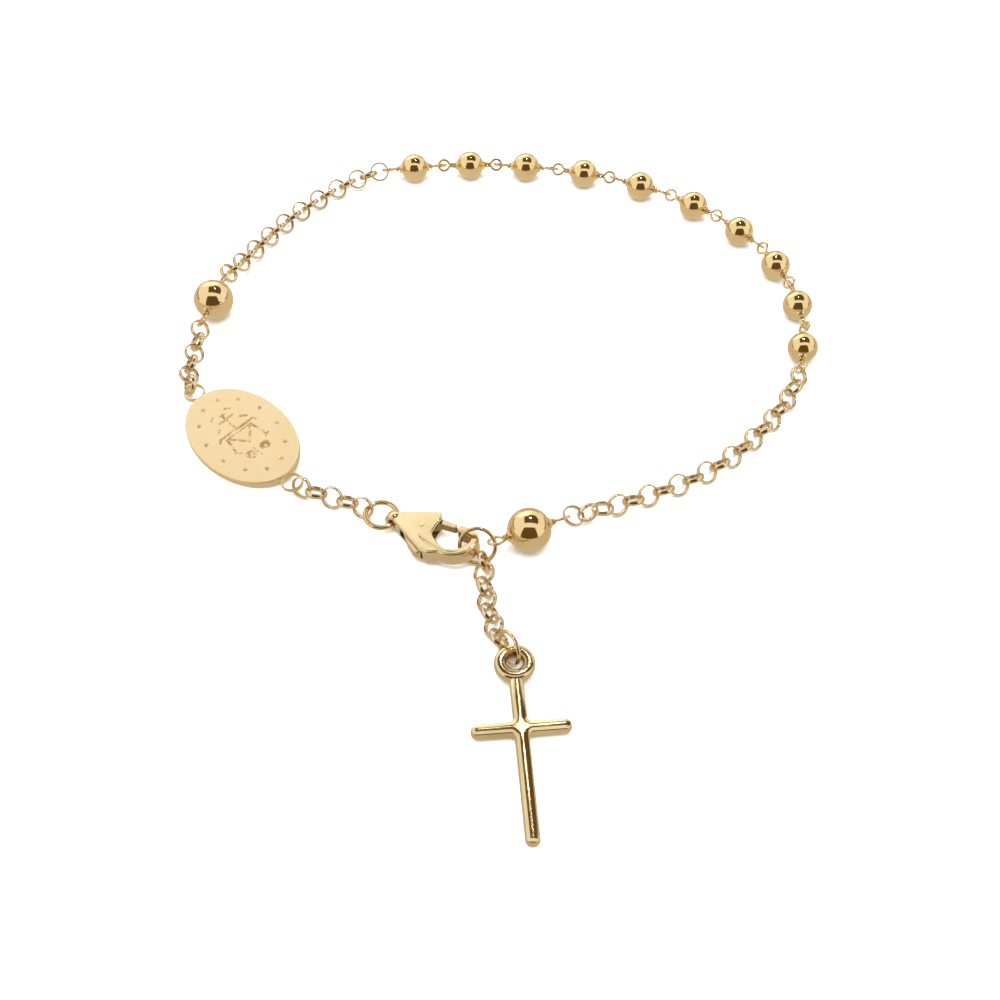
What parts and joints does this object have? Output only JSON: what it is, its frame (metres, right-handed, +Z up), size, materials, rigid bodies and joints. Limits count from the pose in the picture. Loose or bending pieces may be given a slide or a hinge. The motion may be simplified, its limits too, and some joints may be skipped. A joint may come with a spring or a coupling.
{
  "type": "rosary bracelet",
  "caption": "Gold rosary bracelet lying in a loop: round beads on eye pins, fine belcher chain, oval medal, lobster clasp and a hanging cross.",
  "frame": {"origin": "centre of the wrist loop, on the surface that the bracelet lies on", "axes": "+Z up from the surface, +Y away from the clasp and the hanging cross, towards the far side of the loop"},
  "size_m": [0.0634, 0.0844, 0.004],
  "materials": {
    "polished_gold": "mirror-polished yellow gold",
    "chain_gold": "polished yellow gold, tumbled links",
    "wire_gold": "polished yellow gold wire",
    "clasp_gold": "polished yellow gold, fine tooling marks",
    "satin_gold": "satin yellow gold",
    "cross_gold": "polished yellow gold"
  },
  "bodies": {
    "bracelet": {"small_bead_1": "polished_gold", "small_bead_2": "polished_gold", "small_bead_3": "polished_gold", "small_bead_4": "polished_gold", "small_bead_5": "polished_gold", "small_bead_6": "polished_gold", "small_bead_7": "polished_gold", "small_bead_8": "polished_gold", "small_bead_9": "polished_gold", "small_bead_10": "polished_gold", "small_pin_1": "wire_gold", "small_pin_2": "wire_gold", "small_pin_3": "wire_gold", "small_pin_4": "wire_gold", "small_pin_5": "wire_gold", "small_pin_6": "wire_gold", "small_pin_7": "wire_gold", "small_pin_8": "wire_gold", "small_pin_9": "wire_gold", "small_pin_10": "wire_gold", "large_bead_left": "polished_gold", "large_bead_front": "polished_gold", "large_pin_left": "wire_gold", "large_pin_front": "wire_gold", "chain_front": "chain_gold", "chain_back": "chain_gold", "chain_left": "chain_gold", "chain_clasp": "chain_gold", "chain_pendant": "chain_gold", "jump_ring_end": "wire_gold", "jump_ring_clasp": "wire_gold", "jump_ring_cross": "wire_gold", "clasp_body": "clasp_gold", "clasp_pin": "clasp_gold", "medal": "satin_gold", "cross": "cross_gold"},
    "lever": {"clasp_lever": "clasp_gold"}
  },
  "joints": [
    {"name": "lever_hinge", "type": "hinge", "parent": "bracelet", "child": "lever", "pos_m": [-0.00695, -0.02545, 0.00115], "axis": [0.0816, -0.042, -0.9958], "range_deg": [0, 18], "stiffness_Nm_per_rad": 0.003, "springref_deg": -2.86}
  ]
}
